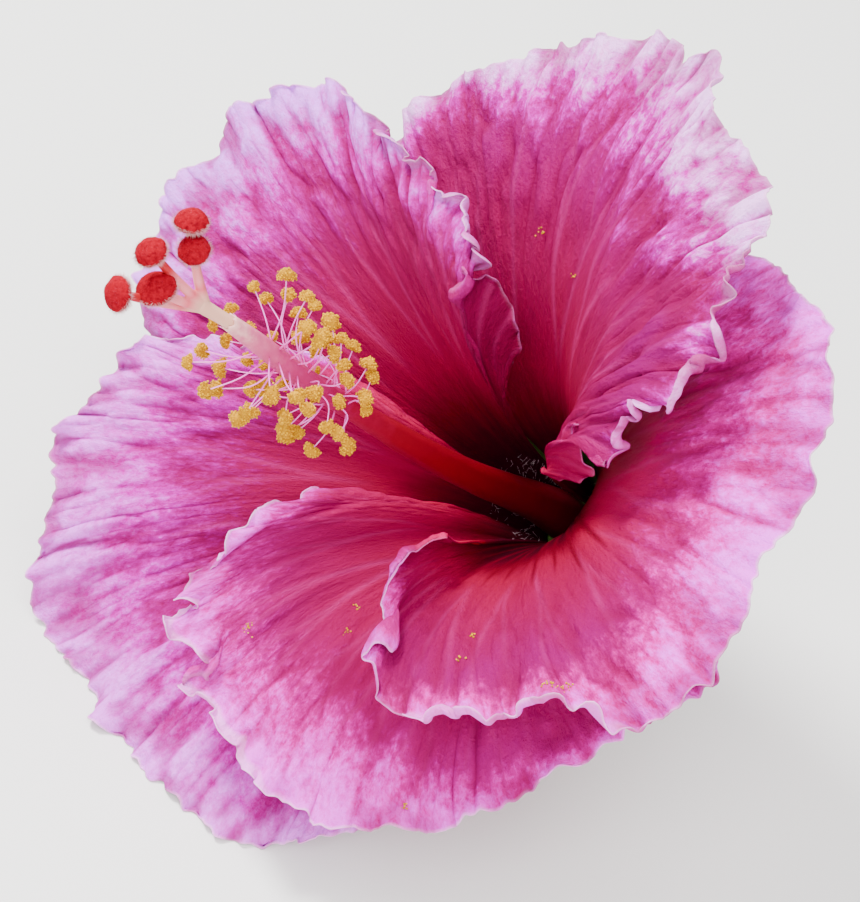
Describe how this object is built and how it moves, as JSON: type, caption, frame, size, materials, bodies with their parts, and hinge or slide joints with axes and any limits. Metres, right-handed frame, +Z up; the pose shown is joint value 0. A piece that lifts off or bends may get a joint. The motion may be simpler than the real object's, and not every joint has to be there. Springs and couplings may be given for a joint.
{
  "type": "hibiscus flower",
  "caption": "Picked double-coloured hibiscus flower, ruffled pink petals with a red eye and a long staminal column, lying on a petal edge and its stalk.",
  "frame": {"origin": "centre of the bounding box at the surface the flower lies on", "axes": "+Z up from the surface; -Y towards the side the open flower faces, +X to that viewer's right"},
  "size_m": [0.1086, 0.0987, 0.0968],
  "materials": {
    "petal": "matte petal tissue, crimson eye to lavender-pink ruffled edge",
    "column": "waxy red tube with pink threads",
    "pollen": "crumbly golden anthers",
    "stigma": "velvety red pads on pale branches",
    "green": "satin green, finely downy"
  },
  "bodies": {
    "root": {"petal_right": "petal", "petal_lower": "petal", "petal_left": "petal", "petal_upper_left": "petal", "petal_upper_right": "petal", "staminal_column": "column", "pistil": "stigma", "calyx": "green", "stalk": "green"}
  },
  "joints": []
}
